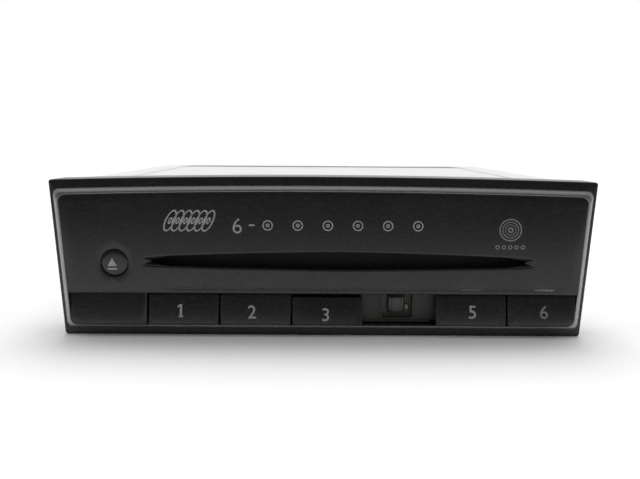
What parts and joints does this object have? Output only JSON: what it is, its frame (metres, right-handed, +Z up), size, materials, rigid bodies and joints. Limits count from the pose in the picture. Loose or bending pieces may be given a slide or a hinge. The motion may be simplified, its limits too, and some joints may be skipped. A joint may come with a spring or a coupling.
{
  "type": "car disc changer",
  "caption": "Dashboard disc changer with a wide disc slot, a round eject button and a row of selector keys on a folded sheet chassis; one key cap is missing.",
  "frame": {"origin": "under the middle of the whole object, on the surface it stands on", "axes": "+X to the right across the face, +Y from the face towards the rear, +Z up"},
  "size_m": [0.1828, 0.1858, 0.054],
  "materials": {
    "bezel": "fine satin moulding",
    "keys": "satin",
    "trim": "satin silver",
    "dark_moulding": "matte",
    "indicator": "smoked",
    "sheet": "zinc coated",
    "steel": "bright",
    "aluminium": "satin",
    "board": "lacquered",
    "rubber": "matte",
    "ivory": "matte",
    "grey_plastic": "matte"
  },
  "bodies": {
    "changer": {"front_bezel": "bezel", "trim_frame": "trim", "light_guide": "indicator", "key_guide": "dark_moulding", "key_board": "board", "bay_switch": "grey_plastic", "chassis_tray": "sheet", "top_cover": "sheet", "front_plate": "sheet", "rear_plate": "sheet", "cover_screw_1": "steel", "cover_screw_2": "steel", "cover_screw_3": "steel", "cover_screw_4": "steel", "rear_connector": "ivory", "main_board": "board", "heat_sink": "aluminium", "capacitor_1": "dark_moulding", "capacitor_2": "dark_moulding", "loading_frame": "steel", "loading_motor": "steel", "disc_guide": "dark_moulding", "mechanism_deck": "steel", "damper_1": "rubber", "damper_2": "rubber", "damper_3": "rubber", "damper_4": "rubber", "guide_post_1": "steel", "guide_post_2": "steel", "guide_post_3": "steel", "traverse_plate": "steel", "guide_rod_1": "steel", "guide_rod_2": "steel", "sled_motor": "steel", "spindle_motor": "steel"},
    "selector_1": {"key_1": "keys"},
    "selector_2": {"key_2": "keys"},
    "selector_3": {"key_3": "keys"},
    "selector_5": {"key_5": "keys"},
    "selector_6": {"key_6": "keys"},
    "eject": {"eject_button": "keys"},
    "flap": {"dust_flap": "dark_moulding"},
    "roller": {"loading_roller": "rubber", "roller_gear": "ivory"},
    "idler": {"idler_gear": "ivory"},
    "pinion": {"motor_pinion": "aluminium"},
    "disc_stack": {"disc_tray_1": "grey_plastic", "disc_tray_2": "grey_plastic", "disc_tray_3": "grey_plastic", "disc_tray_4": "grey_plastic", "disc_tray_5": "grey_plastic", "disc_tray_6": "grey_plastic"},
    "stack_screw": {"lift_screw": "steel"},
    "sled": {"pickup_sled": "grey_plastic"},
    "sled_screw": {"lead_screw": "steel"},
    "spindle": {"turntable": "dark_moulding"}
  },
  "joints": [
    {"name": "press_1", "type": "slide", "parent": "changer", "child": "selector_1", "axis": [0, 1, 0], "range_m": [0, 0.0008], "stiffness_N_per_m": 400},
    {"name": "press_2", "type": "slide", "parent": "changer", "child": "selector_2", "axis": [0, 1, 0], "range_m": [0, 0.0008], "stiffness_N_per_m": 400},
    {"name": "press_3", "type": "slide", "parent": "changer", "child": "selector_3", "axis": [0, 1, 0], "range_m": [0, 0.0008], "stiffness_N_per_m": 400},
    {"name": "press_5", "type": "slide", "parent": "changer", "child": "selector_5", "axis": [0, 1, 0], "range_m": [0, 0.0008], "stiffness_N_per_m": 400},
    {"name": "press_6", "type": "slide", "parent": "changer", "child": "selector_6", "axis": [0, 1, 0], "range_m": [0, 0.0008], "stiffness_N_per_m": 400},
    {"name": "press_eject", "type": "slide", "parent": "changer", "child": "eject", "axis": [0, 1, 0], "range_m": [0, 0.0008], "stiffness_N_per_m": 400},
    {"name": "flap_swing", "type": "hinge", "parent": "changer", "child": "flap", "pos_m": [0.0055, -0.08588, 0.0312], "axis": [1, 0, 0], "range_deg": [0, 70], "stiffness_Nm_per_rad": 0.0005},
    {"name": "roller_spin", "type": "hinge", "parent": "changer", "child": "roller", "pos_m": [0.0055, -0.06457, 0.0199], "axis": [1, 0, 0], "continuous": true},
    {"name": "idler_spin", "type": "hinge", "parent": "changer", "child": "idler", "pos_m": [0.0781, -0.05853, 0.01094], "axis": [1, 0, 0], "continuous": true},
    {"name": "pinion_spin", "type": "hinge", "parent": "changer", "child": "pinion", "pos_m": [0.0781, -0.0674, 0.00938], "axis": [1, 0, 0], "continuous": true},
    {"name": "stack_lift", "type": "slide", "parent": "changer", "child": "disc_stack", "axis": [0, 0, 1], "range_m": [0, 0.011]},
    {"name": "lift_screw_turn", "type": "hinge", "parent": "changer", "child": "stack_screw", "pos_m": [0.0675, 0.05742, 0.02], "axis": [0, 0, 1], "range_deg": [0, 901]},
    {"name": "sled_travel", "type": "slide", "parent": "changer", "child": "sled", "axis": [-1, 0, 0], "range_m": [0, 0.024]},
    {"name": "lead_screw_turn", "type": "hinge", "parent": "changer", "child": "sled_screw", "pos_m": [-0.03, 0.03442, 0.01], "axis": [1, 0, 0], "range_deg": [0, 1441]},
    {"name": "turntable_spin", "type": "hinge", "parent": "changer", "child": "spindle", "pos_m": [0.0055, 0.00743, 0.01], "axis": [0, 0, 1], "continuous": true}
  ],
  "couplings": [
    {"joint": "idler_spin", "follows": "roller_spin", "ratio": -0.8},
    {"joint": "pinion_spin", "follows": "roller_spin", "ratio": 1.6},
    {"joint": "lift_screw_turn", "follows": "stack_lift", "rad_per_m": 1428},
    {"joint": "lead_screw_turn", "follows": "sled_travel", "rad_per_m": 1047.2}
  ]
}
